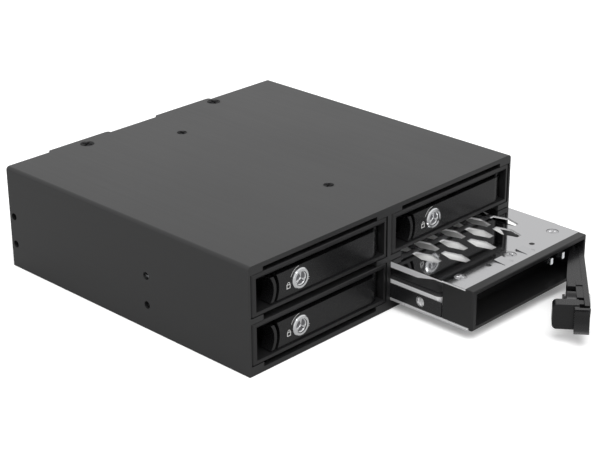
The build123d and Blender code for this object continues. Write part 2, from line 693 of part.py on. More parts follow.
# Lever: moulded channel with a flat face that sweeps back to two knuckles on the pin
turn_x = pin_x - lever_turn_inset
turn_y = lever_set_back + lever_turn_radius
plate_arc = thumb_radius + thumb_gap
flange_top = lever_top - flange_drop
flange_bottom = lever_bottom + flange_drop
with BuildPart() as lever:
    with BuildSketch(Plane.XY.offset(lever_bottom)):
        with BuildLine():
            outer = CenterArc((turn_x, turn_y), lever_turn_radius, -90, lever_turn)
            inner = CenterArc((turn_x, turn_y), lever_turn_radius - lever_plate, -90, lever_turn)
            Line(outer @ 1, inner @ 1)
            Polyline(inner @ 0, (arc_x + 7.0, plate_back), (arc_x + 7.0, lever_set_back), outer @ 0)
        make_face()
        face_end = outer @ 1
    extrude(amount=lever_top - lever_bottom)
    # Upper and lower flanges run back to the knuckles
    for flange_z, step in ((flange_bottom, lever_flange), (flange_top, -lever_flange)):
        with BuildSketch(Plane.XY.offset(flange_z)):
            with BuildLine():
                root = CenterArc((turn_x, turn_y), lever_turn_radius - lever_plate + 0.5, -90, lever_turn)
                Polyline(root @ 0, (channel_left, plate_back - 0.5), (channel_left, lever_back), (2.0, lever_back),
                         (18.0, lever_back - 1.1), (pin_x - 1.4, pin_depth + 1.15), (pin_x, pin_depth + 1.1),
                         (pin_x, pin_depth), (face_end.X, face_end.Y), root @ 1)
            make_face()
        extrude(amount=step)
        with BuildSketch(Plane.XY.offset(flange_z)):
            with Locations((pin_x, pin_depth)):
                Circle(barrel_radius)
        extrude(amount=2 * step)
    # Notches in the flanges over the lock, then the lock's boss and a rib that stiffens the top flange
    with BuildSketch(Plane.XY.offset(lever_bottom)):
        with Locations((lock_x, lever_back)):
            Rectangle(2 * boss_radius, 6.0)
    extrude(amount=lever_top - lever_bottom, mode=Mode.SUBTRACT)
    with BuildSketch(facing_front(plate_back - 0.5)):
        with Locations((lock_x, lever_mid)):
            Circle(boss_radius)
    extrude(amount=plate_back - 0.5 - boss_end)
    with BuildSketch(Plane.XY.offset(flange_top)):
        with Locations((-3.0, plate_back + 1.2)):
            Rectangle(4.0, 2.6)
    extrude(amount=flange_drop)
    # The lock's hole, the curved left end and the pin's hole
    with BuildSketch(facing_front(lever_set_back)):
        with Locations((lock_x, lever_mid)):
            Circle(lock_body_radius + pin_fit)
    extrude(amount=lever_set_back - boss_end, mode=Mode.SUBTRACT)
    with BuildSketch(facing_front(lever_set_back)):
        with Locations((arc_x, lever_mid)):
            Circle(plate_arc)
    extrude(amount=-lever_plate, mode=Mode.SUBTRACT)
    with BuildSketch(Plane.XY.offset(lever_bottom)):
        with Locations((pin_x, pin_depth)):
            Circle(pin_radius + pin_fit)
    extrude(amount=lever_top - lever_bottom, mode=Mode.SUBTRACT)

# Latch: curved thumb piece in front, a web behind the lever's face and a hollow hook box
latch_bottom = lever_bottom + 0.2
latch_top = lever_top - 0.2
web_front = lever_set_back + 3.9
web_back = lever_set_back + thumb_depth
box_back = lever_set_back + latch_box_depth
latch_height = latch_top - latch_bottom
with BuildPart() as latch:
    with BuildSketch(facing_front(lever_set_back)):
        with Locations((arc_x, lever_mid)):
            Circle(thumb_radius)
            Circle(thumb_radius - thumb_wall, mode=Mode.SUBTRACT)
        with Locations((arc_x + thumb_radius, lever_mid)):
            Rectangle(12.6, latch_height, mode=Mode.INTERSECT)
    extrude(amount=-thumb_depth)
    with BuildSketch(facing_front(web_front)):
        with Locations(((arc_x + thumb_radius - 1.0 + box_right) / 2, lever_mid)):
            Rectangle(box_right - arc_x - thumb_radius + 1.0, latch_height - 0.6)
    extrude(amount=web_front - web_back)
    with BuildSketch(Plane.XY.offset(latch_bottom)):
        with Locations(((box_left + box_right) / 2, (web_front + box_back) / 2)):
            Rectangle(latch_box_width, box_back - web_front)
    extrude(amount=latch_height)
    fillet(latch.edges().filter_by(Axis.X).group_by(Axis.Y)[-1], radius=1.8)
    # The box is open towards the lock, with a wall on its other sides
    with BuildSketch(Plane.YZ.offset(box_left + thumb_wall)):
        with Locations(((web_back + box_back - 1.2) / 2, lever_mid)):
            RectangleRounded(box_back - 1.2 - web_back, latch_height - 2.4, 0.8)
    extrude(amount=latch_box_width, mode=Mode.SUBTRACT)
    # Pads that run on the back of the lever's face
    with BuildSketch(facing_front(plate_back + latch_gap)):
        with Locations((box_right - 1.6, latch_bottom + 1.2), (box_right - 1.6, latch_top - 1.2)):
            Rectangle(3.2, 1.8)
    extrude(amount=plate_back + latch_gap - web_front - 0.2)

# Lock body: bright ring and barrel pressed into the lever's boss
ring_front = 0.1
with BuildPart() as lock_body:
    with BuildSketch(facing_front(ring_front)):
        with Locations((lock_x, lever_mid)):
            Circle(lock_ring_radius)
    extrude(amount=ring_front - lever_set_back)
    chamfer(lock_body.faces().sort_by(Axis.Y)[0].edges(), length=0.35)
    with BuildSketch(facing_front(lever_set_back)):
        with Locations((lock_x, lever_mid)):
            Circle(lock_body_radius)
    extrude(amount=-lock_length)
    with BuildSketch(facing_front(ring_front)):
        with Locations((lock_x, lever_mid)):
            Circle(lock_plug_radius + pin_fit)
    extrude(amount=ring_front - lever_set_back - lock_length, mode=Mode.SUBTRACT)

# Lock plug: turns in the body, with a keyway in front and a flat cam behind
cam_front = lever_set_back + lock_length + 0.1
plug_front = 0.9
with BuildPart() as lock_plug:
    with BuildSketch(facing_front(plug_front)):
        with Locations((lock_x, lever_mid)):
            Circle(lock_plug_radius)
    extrude(amount=plug_front - cam_front)
    with BuildSketch(facing_front(cam_front)):
        with Locations((lock_x, lever_mid)):
            Circle(lock_plug_radius)
        with Locations((lock_x + cam_length / 2, lever_mid)):
            Rectangle(cam_length, cam_width)
    extrude(amount=-cam_gauge)
    with BuildSketch(facing_front(plug_front)):
        with Locations((lock_x, lever_mid)):
            SlotOverall(4.2, 1.1, rotation=90)
    extrude(amount=-keyway_depth, mode=Mode.SUBTRACT)

# Hinge pin of the lever
with BuildPart() as hinge_pin:
    with BuildSketch(Plane.XY.offset(tray_floor + 0.1)):
        with Locations((pin_x, pin_depth)):
            Circle(pin_radius)
    extrude(amount=cover_bottom - tray_floor - 0.2)

# Light pipes: two clear bars through the bezel's rear wall
with BuildPart() as light_pipes:
    with BuildSketch(facing_front(pipe_front)):
        for pipe_x in pipe_places:
            with Locations((pipe_x, lever_mid)):
                Rectangle(pipe_width, pipe_height)
    extrude(amount=pipe_front - bezel_depth)
    with BuildSketch(facing_front(cavity_back - 0.8)):
        for pipe_x in pipe_places:
            with Locations((pipe_x, lever_mid)):
                Rectangle(pipe_width + 1.0, pipe_height + 1.0)
    extrude(amount=-0.8)

# Drive case: cast base with open screw holes at the sides and a deck under the cover
with BuildPart() as drive_case:
    case_top = tray_floor + drive_height - cover_rise
    with BuildSketch(Plane.XY.offset(tray_floor)):
        with Locations((0, (drive_front + drive_back) / 2)):
            RectangleRounded(drive_width, drive_length, 2.4)
    extrude(amount=case_top - tray_floor)
    for side in (-1, 1):
        with BuildSketch(Plane.YZ.offset(side * drive_width / 2)):
            with Locations((drive_back - drive_hole_rear, tray_floor + drive_hole_height),
                           (drive_back - drive_hole_front, tray_floor + drive_hole_height)):
                Circle(drive_screw_radius + pin_fit)
        extrude(amount=-side * 4.0, mode=Mode.SUBTRACT)
    with BuildSketch(facing_front(drive_back)):
        with Locations((0, tray_floor + 3.4)):
            Rectangle(plug_width, plug_height)
    extrude(amount=7.0, mode=Mode.SUBTRACT)

# Drive cover: thin pressed lid with a raised field over the disks
with BuildPart() as drive_cover:
    with BuildSketch(Plane.XY.offset(case_top)):
        with Locations((0, (drive_front + drive_back) / 2)):
            RectangleRounded(drive_width - 2 * cover_inset, drive_length - 2 * cover_inset, 2.0)
    extrude(amount=cover_rise * 0.5)
    with BuildSketch(Plane.XY.offset(case_top + cover_rise * 0.5)):
        with Locations((0, drive_front + 36.0)):
            Circle(31.5)
        with Locations((0, drive_front + 66.0)):
            RectangleRounded(60.0, 60.0, 4.0)
    extrude(amount=cover_rise * 0.5)

# Drive plug: moulded block in the case's rear with a slot for the socket's blade
with BuildPart() as drive_plug:
    with BuildSketch(facing_front(drive_back)):
        with Locations((0, tray_floor + 3.4)):
            Rectangle(plug_width - 0.1, plug_height - 0.1)
    extrude(amount=6.9)
    with BuildSketch(facing_front(drive_back)):
        with Locations((0, tray_floor + 3.4)):
            Rectangle(blade_width + 1.0, blade_gauge + 1.0)
    extrude(amount=blade_reach + 1.0, mode=Mode.SUBTRACT)

# Drive screws: four flat heads through the tray's walls
with BuildPart() as drive_screws:
    for side in (-1, 1):
        with BuildSketch(Plane.YZ.offset(side * (drive_width / 2 + drive_clear + tray_wall))):
            with Locations((drive_back - drive_hole_rear, tray_floor + drive_hole_height),
                           (drive_back - drive_hole_front, tray_floor + drive_hole_height)):
                Circle(drive_screw_head)
        extrude(amount=-side * (tray_wall + drive_clear))
        with BuildSketch(Plane.YZ.offset(side * (drive_width / 2))):
            with Locations((drive_back - drive_hole_rear, tray_floor + drive_hole_height),
                           (drive_back - drive_hole_front, tray_floor + drive_hole_height)):
                Circle(drive_screw_radius)
        extrude(amount=-side * drive_screw_length)

# Every tray gets its own copy of the pieces, and the open one has its lever swung out
carried = {
    "bezel": bezel.part, "tray_pan": tray_pan.part, "tray_cover": tray_cover.part,
    "cover_rivets": cover_rivets.part, "hinge_pin": hinge_pin.part, "light_pipes": light_pipes.part,
}
swinging = {
    "lever": lever.part, "latch": latch.part, "lock_body": lock_body.part, "lock_plug": lock_plug.part,
}
drive_pieces = {
    "drive_case": drive_case.part, "drive_cover": drive_cover.part,
    "drive_plug": drive_plug.part, "drive_screws": drive_screws.part,
}
lever_axis = Axis((pin_x, pin_depth, 0), (0, 0, 1))
for tray_name, (tray_x, tray_z, out) in TRAYS.items():
    place = Location((tray_x, front_y - out, tray_z))
    for piece_name, piece in carried.items():
        save(piece.moved(place), f"{piece_name}_{tray_name}")
    for piece_name, piece in swinging.items():
        angle = lever_open_angle if out > 0 else 0.0
        save(piece.rotate(lever_axis, angle).moved(place), f"{piece_name}_{tray_name}")
    if out > 0:
        for piece_name, piece in drive_pieces.items():
            save(piece.moved(place), piece_name)
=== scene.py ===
import json
import math
import bpy
import numpy as np
from mathutils import Matrix, Vector


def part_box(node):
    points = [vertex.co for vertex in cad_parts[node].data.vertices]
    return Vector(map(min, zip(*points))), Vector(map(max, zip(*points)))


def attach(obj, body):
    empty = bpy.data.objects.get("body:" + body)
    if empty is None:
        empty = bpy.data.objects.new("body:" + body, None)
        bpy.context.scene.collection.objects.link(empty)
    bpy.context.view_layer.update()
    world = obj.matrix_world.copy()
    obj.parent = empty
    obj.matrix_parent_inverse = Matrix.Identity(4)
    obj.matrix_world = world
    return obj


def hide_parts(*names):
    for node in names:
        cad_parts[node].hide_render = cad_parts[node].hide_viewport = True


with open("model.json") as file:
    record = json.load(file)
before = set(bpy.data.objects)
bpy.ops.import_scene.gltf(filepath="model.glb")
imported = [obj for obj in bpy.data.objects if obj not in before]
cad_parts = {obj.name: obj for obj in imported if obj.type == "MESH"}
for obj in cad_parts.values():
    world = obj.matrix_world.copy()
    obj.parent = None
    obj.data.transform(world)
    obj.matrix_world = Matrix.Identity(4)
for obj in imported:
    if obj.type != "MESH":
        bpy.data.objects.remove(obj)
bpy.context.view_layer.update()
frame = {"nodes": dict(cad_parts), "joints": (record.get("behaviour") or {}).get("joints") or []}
part_nodes = frame["nodes"]


# Outer shell, base pan and front frame of the cage, with its rear panel.
# They are 1 mm steel sheet, bent and riveted, and then coated in satin black.
# The coat shows long faint streaks of the rolled sheet, and a very fine grain.
class Wire:
    """One socket in a shader: sums, products and comparisons on it add Math nodes."""

    def __init__(self, finish, socket):
        self.finish, self.socket = finish, socket

    def maths(self, operation, *values):
        return self.finish.node("ShaderNodeMath", {"operation": operation}, dict(enumerate(values)))

    def __add__(self, other):
        return self.maths("ADD", self, other)

    def __radd__(self, other):
        return self.maths("ADD", other, self)

    def __sub__(self, other):
        return self.maths("SUBTRACT", self, other)

    def __rsub__(self, other):
        return self.maths("SUBTRACT", other, self)

    def __mul__(self, other):
        return self.maths("MULTIPLY", self, other)

    def __rmul__(self, other):
        return self.maths("MULTIPLY", other, self)

    def __gt__(self, other):
        return self.maths("GREATER_THAN", self, other)

    def __lt__(self, other):
        return self.maths("LESS_THAN", self, other)


class Finish:
    """A named surface finish: one Principled shader and the pattern nodes that feed it."""

    def __init__(self, name, colour, roughness, metallic=0.0, **constants):
        self.material = bpy.data.materials.new(name)
        self.material.use_nodes = True
        self.tree = self.material.node_tree
        self.shader = self.tree.nodes["Principled BSDF"]
        self.shader.inputs["Base Color"].default_value = (*colour, 1.0)
        self.shader.inputs["Roughness"].default_value = roughness
        self.shader.inputs["Metallic"].default_value = metallic
        for socket_name, value in constants.items():
            self.shader.inputs[socket_name.replace("_", " ")].default_value = value

    def node(self, kind, settings=None, sockets=None, output=0):
        """Add a node of a kind, with its settings first and then its sockets' values or wires."""
        made = self.tree.nodes.new(kind)
        for key, value in (settings or {}).items():
            setattr(made, key, value)
        for key, value in (sockets or {}).items():
            if isinstance(value, Wire):
                self.tree.links.new(value.socket, made.inputs[key])
            else:
                made.inputs[key].default_value = value
        return Wire(self, made.outputs[output])

    def along(self, axis):
        """One object coordinate in metres: axis 0, 1 or 2 is x, y or z."""
        place = self.node("ShaderNodeTexCoord", output="Object")
        return self.node("ShaderNodeSeparateXYZ", sockets={0: place}, output=axis)

    def noise(self, scale, detail=2.0):
        """Fractal noise from 0 to 1, with cells of 1/scale metres; scale is one number or one for each axis."""
        place = self.node("ShaderNodeTexCoord", output="Object")
        stretched = self.node("ShaderNodeMapping", sockets={"Vector": place, "Scale": tuple(np.ones(3) * scale)})
        return self.node("ShaderNodeTexNoise", sockets={
            "Vector": stretched, "Scale": 1.0, "Detail": detail, "Roughness": 0.5})

    def feed(self, socket_name, wire):
        """Let a wire drive one socket of the shader."""
        self.tree.links.new(wire.socket, self.shader.inputs[socket_name])

    def vary_roughness(self, least, spread, scale, detail=2.0):
        """Roughness from least to least + spread, in the clouds of a noise."""
        self.feed("Roughness", least + self.noise(scale, detail) * spread)

    def grain(self, height, distance):
        """Small bumps: height is a wire from 0 to 1 and distance its depth in metres."""
        self.feed("Normal", self.node("ShaderNodeBump", sockets={
            "Strength": 1.0, "Distance": distance, "Height": height}))

    def blend(self, amount, first, second):
        """Colour between two colours by an amount from 0 to 1."""
        return self.node("ShaderNodeMix", {"data_type": "RGBA"},
                         {0: amount, 6: (*first, 1.0), 7: (*second, 1.0)}, output=2)

    def coat(self, *names):
        """Give the finish to nodes of the part, by name."""
        for name in names:
            mesh = part_nodes[name].data
            mesh.materials.clear()
            mesh.materials.append(self.material)


cage_coat = Finish("satin_black_coat", (0.0115, 0.0117, 0.012), 0.36)
streaks = cage_coat.noise((900.0, 14.0, 500.0))
clouds = cage_coat.noise((28.0, 16.0, 28.0))
cage_coat.feed("Base Color", cage_coat.blend(clouds, (0.0095, 0.0097, 0.010), (0.0145, 0.0146, 0.015)))
cage_coat.feed("Roughness", 0.30 + streaks * 0.06 + clouds * 0.10)
cage_coat.grain(streaks + cage_coat.noise(2600.0, 1.0), 0.0000035)
cage_coat.coat("outer_shell", "base_pan", "front_frame", "rear_panel")

# Centre wall and middle shelves, behind the frame: zinc plated sheet without a coat.
# Runners of white plastic, snapped on the floor and the shelves, carry the trays.
zinc = Finish("zinc_plate", (0.42, 0.43, 0.44), 0.42, 1.0)
zinc.vary_roughness(0.34, 0.22, 60.0, 3.0)
zinc.coat("centre_wall", "middle_shelves")
runner_white = Finish("runner_plastic", (0.62, 0.62, 0.60), 0.45)
runner_white.vary_roughness(0.38, 0.14, (400.0, 60.0, 400.0))
runner_white.coat("guide_runners")

# Backplane board: glass fibre sheet with a green mask, set upright behind the trays.
# Its sockets and ports are moulded in black nylon.
board_mask = Finish("board_mask", (0.012, 0.085, 0.035), 0.32)
traces = board_mask.noise((700.0, 60.0, 260.0), 1.0) > 0.55
board_mask.feed("Base Color", board_mask.blend(traces, (0.010, 0.075, 0.030), (0.018, 0.120, 0.050)))
board_mask.coat("backplane_board")
nylon = Finish("connector_nylon", (0.018, 0.018, 0.019), 0.5)
nylon.vary_roughness(0.44, 0.14, 900.0)
nylon.coat("drive_sockets", "data_ports", "power_ports")

# Two fans: square moulded housings, each with a rotor that turns on its own spindle.
# Both are matt black plastic.
fan_black = Finish("fan_plastic", (0.020, 0.020, 0.021), 0.52)
fan_black.vary_roughness(0.46, 0.14, 1200.0)
fan_black.coat("fan_frames", "fan_rotor_left", "fan_rotor_right")

# Screws and rivets of the cage: steel with black oxide, a little shinier than the coat.
# Eight pan heads hold the fans; two flat heads and two flat rivets with a cross hold the top.
oxide = Finish("black_oxide", (0.010, 0.010, 0.011), 0.28, 0.3)
oxide.vary_roughness(0.22, 0.16, 1500.0)
flat_oxide = Finish("flat_oxide", (0.004, 0.004, 0.0045), 0.50, 0.0, Specular_IOR_Level=0.12)
flat_oxide.vary_roughness(0.40, 0.2, 2500.0)


def make_mesh(name, points, faces, finish, body, slot, sharp=35.0):
    """Mesh object from points in metres and faces, with one finish, on a body; sharp is in degrees."""
    mesh = bpy.data.meshes.new(name)
    mesh.from_pydata(np.asarray(points).tolist(), [], faces)
    mesh.materials.append(finish.material)
    mesh.polygons.foreach_set("use_smooth", [True] * len(mesh.polygons))
    mesh.set_sharp_from_angle(angle=math.radians(sharp))
    made = bpy.data.objects.new(name, mesh)
    bpy.context.scene.collection.objects.link(made)
    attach(made, body)
    return made


def grid_faces(rows, columns, closed=True):
    """Four-sided faces between the rows of a grid. A closed grid of rings gets a lid at both ends.

    Seen from outside, the rings of a closed grid run clockwise and its rows run outwards and down.
    """
    faces = []
    if closed:
        faces.append(tuple(range(columns - 1, -1, -1)))
        faces.append(tuple(range((rows - 1) * columns, rows * columns)))
    for row in range(rows - 1):
        for column in range(columns if closed else columns - 1):
            near, after = row * columns + column, row * columns + (column + 1) % columns
            faces.append((near, after, after + columns, near + columns))
    return faces


def cross_head(radius, rise, outline, cross, depth, rings=20, sectors=56):
    """Points, in millimetres, and faces of a round head with a cross; z points out of the head.

    Its face is z = rise (1 - r^2 / radius^2) - depth max(s(x, a) s(y, b), s(y, a) s(x, b)), where
    cross = (a, b) and s(x, a) = 1 / (1 + (x / a)^10). The outline under it is (r, z) from the rim.
    """
    narrow, long = cross
    turn = np.linspace(2 * np.pi, 0, sectors, endpoint=False)
    rows = []
    for r in radius * np.linspace(0.02, 1.0, rings):
        x, y = r * np.cos(turn), r * np.sin(turn)
        along_x = 1 / ((1 + (x / long) ** 10) * (1 + (y / narrow) ** 10))
        along_y = 1 / ((1 + (y / long) ** 10) * (1 + (x / narrow) ** 10))
        face = rise * (1 - (r / radius) ** 2) - depth * np.maximum(along_x, along_y)
        rows.append(np.stack([x, y, face], axis=-1))
    for r, z in outline:
        rows.append(np.stack([r * np.cos(turn), r * np.sin(turn), np.full(sectors, float(z))], axis=-1))
    return np.concatenate(rows), grid_faces(len(rows), sectors)


def repeat(shape, places, out, spin=0.5):
    """Copies of a shape at places in metres, facing out, each turned spin + 0.8 n radians about out."""
    points, faces = shape
    out = Vector(out)
    all_points, all_faces = [], []
    for number, place in enumerate(places):
        turn = Matrix.Rotation(spin + 0.8 * number, 3, out) @ out.to_track_quat("Z", "Y").to_matrix()
        all_points.append(points @ np.array(turn).T / 1000 + np.array(place))
        all_faces += [tuple(corner + number * len(points) for corner in face) for face in faces]
    return np.concatenate(all_points), all_faces


joints = {joint["name"]: joint for joint in frame["joints"]}
fan_places = [joints[f"fan_{side}_spin"]["pos_m"] for side in ("left", "right")]
cage_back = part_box("rear_panel")[1][1]
fan_hole, pan_rim = 0.016, 0.00055
pan_places = [(x + dx, cage_back + pan_rim, z + dz) for x, _, z in fan_places
              for dx in (-fan_hole, fan_hole) for dz in (-fan_hole, fan_hole)]
pan_head = cross_head(radius=2.4, rise=0.45, outline=[(2.4, -0.55), (1.35, -0.55), (1.35, -7.5), (0.05, -7.5)],
                      cross=(0.32, 1.4), depth=0.8)
fan_screws = make_mesh("fan_screws", *repeat(pan_head, pan_places, (0, 1, 0)), oxide, "cage", "black_screw")
screw_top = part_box("case_screws")[1][2]
flat_aside, flat_inset = 0.0351, 0.0036
flat_places = [(x, cage_back - flat_inset, screw_top) for x in (-flat_aside, flat_aside)]
flat_head = cross_head(radius=2.8, rise=0.0, outline=[(1.9, -0.9), (1.45, -0.9), (1.45, -1.9), (0.05, -1.9)],
                       cross=(0.38, 1.8), depth=0.75)
flat_screws = make_mesh("flat_screws", *repeat(flat_head, flat_places, (0, 0, 1)), flat_oxide, "cage", "black_screw")
rivets_low, rivets_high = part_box("top_rivets")
top_rivet_radius = 0.0021
top_rivet_places = [(0.0, rivets_low[1] + top_rivet_radius, rivets_high[2]),
                    (0.0, rivets_high[1] - top_rivet_radius, rivets_high[2])]
flat_rivet = cross_head(radius=2.05, rise=0.0, outline=[(1.35, -0.8), (1.15, -0.8), (1.15, -2.5), (0.05, -2.5)],
                        cross=(0.34, 1.5), depth=0.7)
flat_rivets = make_mesh("flat_rivets", *repeat(flat_rivet, top_rivet_places, (0, 0, 1)), flat_oxide,
                        "cage", "black_screw")
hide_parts("case_screws")
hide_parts("case_screws")
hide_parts("top_rivets")

# Port contacts: gold plated strips on the tongues of the data ports and of the power ports.
# Seven stand in each data port and fifteen in each power port, 1.27 mm apart.
gold = Finish("contact_gold", (0.83, 0.60, 0.26), 0.25, 1.0)
gold.vary_roughness(0.18, 0.14, 2000.0)


def strips(first, last, step, count):
    """Points and faces of equal boxes from two opposite corners, in millimetres, each moved on by a step."""
    (x0, y0, z0), (x1, y1, z1) = first, last
    corners = np.array([(x, y, z) for x in (x0, x1) for y in (y0, y1) for z in (z0, z1)])
    sides = [(0, 1, 3, 2), (4, 6, 7, 5), (0, 4, 5, 1), (2, 3, 7, 6), (0, 2, 6, 4), (1, 5, 7, 3)]
    points = np.concatenate([corners + np.array(step) * number for number in range(count)])
    return points, [tuple(corner + 8 * number for corner in side) for number in range(count) for side in sides]


def joined(shapes):
    """One list of points and one of faces from several shapes."""
    points, faces, done = [], [], 0
    for shape_points, shape_faces in shapes:
        faces += [tuple(corner + done for corner in face) for face in shape_faces]
        points.append(shape_points)
        done += len(shape_points)
    return np.concatenate(points), faces


pitch, half_width, contact_gauge = 1.27, 0.375, 0.05
board_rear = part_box("backplane_board")[1][1] * 1000
tongue_start, tongue_end = board_rear + 2.1, board_rear + 8.2
data_port_x, data_port_z, data_face = (-18.0, -6.5), (13.0, 29.0), 0.09
power_port_x, power_port_z, power_face = 13.0, (13.5, 28.5), 0.04
contacts = []
for x in data_port_x:
    for z in data_port_z:
        lowest_strip = z - 3 * pitch
        contacts.append(strips((x + data_face, tongue_start, lowest_strip - half_width),
                               (x + data_face + contact_gauge, tongue_end, lowest_strip + half_width),
                               (0, 0, pitch), 7))
for z in power_port_z:
    first_strip = power_port_x - 7 * pitch
    contacts.append(strips((first_strip - half_width, tongue_start, z + power_face),
                           (first_strip + half_width, tongue_end, z + power_face + contact_gauge),
                           (pitch, 0, 0), 15))
contact_points, contact_faces = joined(contacts)
make_mesh("port_contacts", contact_points / 1000, contact_faces, gold, "cage", "connector_plastic")

# Bezels: deep boxes with a fine matt grain, moulded in black plastic in one piece each.
# Each closes the front of its tray and holds the hinge pin of the lever.
tray_names = ("upper_left", "lower_left", "upper_right", "lower_right")


def in_trays(*pieces):
    """Names of the given pieces in all four trays."""
    return [f"{piece}_{name}" for name in tray_names for piece in pieces]


bezel_plastic = Finish("bezel_plastic", (0.0100, 0.0100, 0.0104), 0.40, Specular_IOR_Level=0.40)
bezel_grain = bezel_plastic.noise(4200.0)
bezel_plastic.feed("Roughness", 0.32 + bezel_grain * 0.12)
bezel_plastic.grain(bezel_grain, 0.000006)
bezel_plastic.coat(*in_trays("bezel"))

# Levers and latches: channel and thumb piece, moulded in black plastic in one piece each.
# Their faces are smoother than the bezel's, with a satin shine.
lever_plastic = Finish("lever_plastic", (0.0062, 0.0062, 0.0066), 0.26, Specular_IOR_Level=0.38)
lever_grain = lever_plastic.noise(3800.0)
lever_plastic.feed("Roughness", 0.20 + lever_grain * 0.12)
lever_plastic.grain(lever_grain, 0.000003)
lever_plastic.coat(*in_trays("lever", "latch"))

# Tray covers: plates of bright cold rolled steel, rolled nearly to a mirror and stamped.
# Their flanges, bent down at both sides, are duller, and their colour is lighter and less metallic: painted light for
# the bright surround that their upright faces reflect.
bright_steel = Finish("bright_steel", (0.55, 0.55, 0.56), 0.08, 1.0)
steel_height = bright_steel.along(2)
bend, foot_room = 0.00085, 0.0003
lower_bend, upper_bend = (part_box(f"tray_cover_{name}")[1][2] - bend for name in ("lower_left", "upper_left"))
upper_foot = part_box("tray_cover_upper_left")[0][2] - foot_room
painted_light_flange = (steel_height < lower_bend) + (steel_height > upper_foot) * (steel_height < upper_bend)
bright_steel.feed("Roughness", 0.05 + bright_steel.noise((500.0, 12.0, 500.0)) * 0.05 + painted_light_flange * 0.36)
# Painted light: the flanges are coloured 0.80 against the plate's 0.55, and made less metallic, for the surround they
# reflect.
bright_steel.feed("Base Color", bright_steel.blend(painted_light_flange, (0.55, 0.55, 0.56), (0.80, 0.80, 0.81)))
bright_steel.feed("Metallic", 1.0 - painted_light_flange * 0.6)
bright_steel.coat(*in_trays("tray_cover"))

# Cover rivets: three of plain steel on each tray hold the cover on the bezel.
# Each has a nearly flat head with a cross, a little above the cover's face.
rivet_steel = Finish("rivet_steel", (0.50, 0.50, 0.51), 0.28, 1.0)
rivet_steel.vary_roughness(0.22, 0.12, 1500.0)
rivet_rise, rivet_radius = 0.12, 0.0024
rivet_head = cross_head(radius=2.28, rise=rivet_rise, outline=[(2.28, -0.3), (1.15, -0.3), (1.15, -1.4), (0.05, -1.4)],
                        cross=(0.28, 1.3), depth=0.45)
for name in tray_names:
    (x0, y0, _), (x1, y1, z1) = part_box(f"cover_rivets_{name}")
    rivet_z = z1 - rivet_rise / 1000
    rivet_places = [(x0 + rivet_radius, y1 - rivet_radius, rivet_z), ((x0 + x1) / 2, y0 + rivet_radius, rivet_z),
                    (x1 - rivet_radius, y1 - rivet_radius, rivet_z)]
    rivets = make_mesh(f"rivet_heads_{name}", *repeat(rivet_head, rivet_places, (0, 0, 1)), rivet_steel,
                       f"tray_{name}", "tray_steel")
    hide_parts(f"cover_rivets_{name}")

# Bezel pegs: two black pegs, moulded on each bezel, stand in the cover's small holes.
# They end just under the cover's face.
peg = cross_head(radius=1.05, rise=0.0, outline=[(1.05, -0.7), (0.05, -0.7)], cross=(0.3, 0.3), depth=0.0,
                 rings=6, sectors=40)
peg_aside, peg_inset, peg_sunk = 0.0133, 0.0022, 0.00017
for name in tray_names:
    (x0, y0, _), (x1, _, z1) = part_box(f"cover_rivets_{name}")
    peg_places = [((x0 + x1) / 2 + side * peg_aside, y0 + peg_inset, z1 - peg_sunk) for side in (-1, 1)]
    make_mesh(f"bezel_pegs_{name}", *repeat(peg, peg_places, (0, 0, 1)), bezel_plastic, f"tray_{name}", "bezel_plastic")

# Tray pans: the floor sheet is bright steel, and the walls above it are lacquered black.
# The lacquer starts just over the floor sheet in each row of trays.
pan_finish = Finish("lacquered_pan", (0.58, 0.58, 0.59), 0.2, 1.0)
pan_height = pan_finish.along(2)
lower_floor, upper_floor = (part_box(f"tray_pan_{name}")[0][2] for name in ("lower_left", "upper_left"))
bare_height, row_room = 0.0011, 0.0002
lacquer = ((pan_height > lower_floor + bare_height) * (pan_height < upper_floor - row_room)
           + (pan_height > upper_floor + bare_height))
pan_finish.feed("Base Color", pan_finish.blend(lacquer, (0.74, 0.74, 0.75), (0.010, 0.010, 0.011)))
pan_finish.feed("Metallic", 0.6 - lacquer * 0.6)
pan_finish.vary_roughness(0.20, 0.12, (400.0, 30.0, 400.0))
pan_finish.coat(*in_trays("tray_pan"))

# Hinge pins of the levers and the drive's screws: turned and headed plain steel.
# Four domed screws go through the walls of the open tray and hold the drive.
plain_steel = Finish("plain_steel", (0.80, 0.80, 0.81), 0.30, 0.7)
plain_steel.vary_roughness(0.22, 0.12, 900.0)
plain_steel.coat(*in_trays("hinge_pin"))
side_head = cross_head(radius=2.0, rise=0.42, outline=[(2.0, -0.03), (1.45, -0.03), (1.45, -3.4), (0.05, -3.4)],
                       cross=(0.32, 1.2), depth=0.6)
side_rise, side_radius = 0.00042, 0.002
(x0, y0, z0), (x1, y1, z1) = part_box("drive_screws")
for side, x, out in (("left", x0 + side_rise, (-1, 0, 0)), ("right", x1 - side_rise, (1, 0, 0))):
    side_places = [(x, y, (z0 + z1) / 2) for y in (y0 + side_radius, y1 - side_radius)]
    side_screws = make_mesh(f"drive_screws_{side}", *repeat(side_head, side_places, out), plain_steel,
                            "tray_lower_right", "pin_steel")
    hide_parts("drive_screws")

# Light pipes: clear plastic bars that carry the board's lamps to the front.
# Their front ends glow white with an emission, a painted glow that stands in for highlights, as no lamp lights them;
# the sides show what lies behind them.
clear_bar = Finish("clear_plastic", (0.88, 0.90, 0.91), 0.12, Transmission_Weight=0.95, IOR=1.49, Emission_Strength=0.6)
clear_bar.vary_roughness(0.06, 0.1, 800.0)
pipe_depth = clear_bar.along(1)
glow_depth, slice_depth = 0.0002, 0.0006
open_end, closed_end = (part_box(f"light_pipes_{name}")[0][1] + glow_depth for name in ("lower_right", "lower_left"))
painted_glow_ends = (pipe_depth < open_end) + (pipe_depth > closed_end - slice_depth) * (pipe_depth < closed_end)
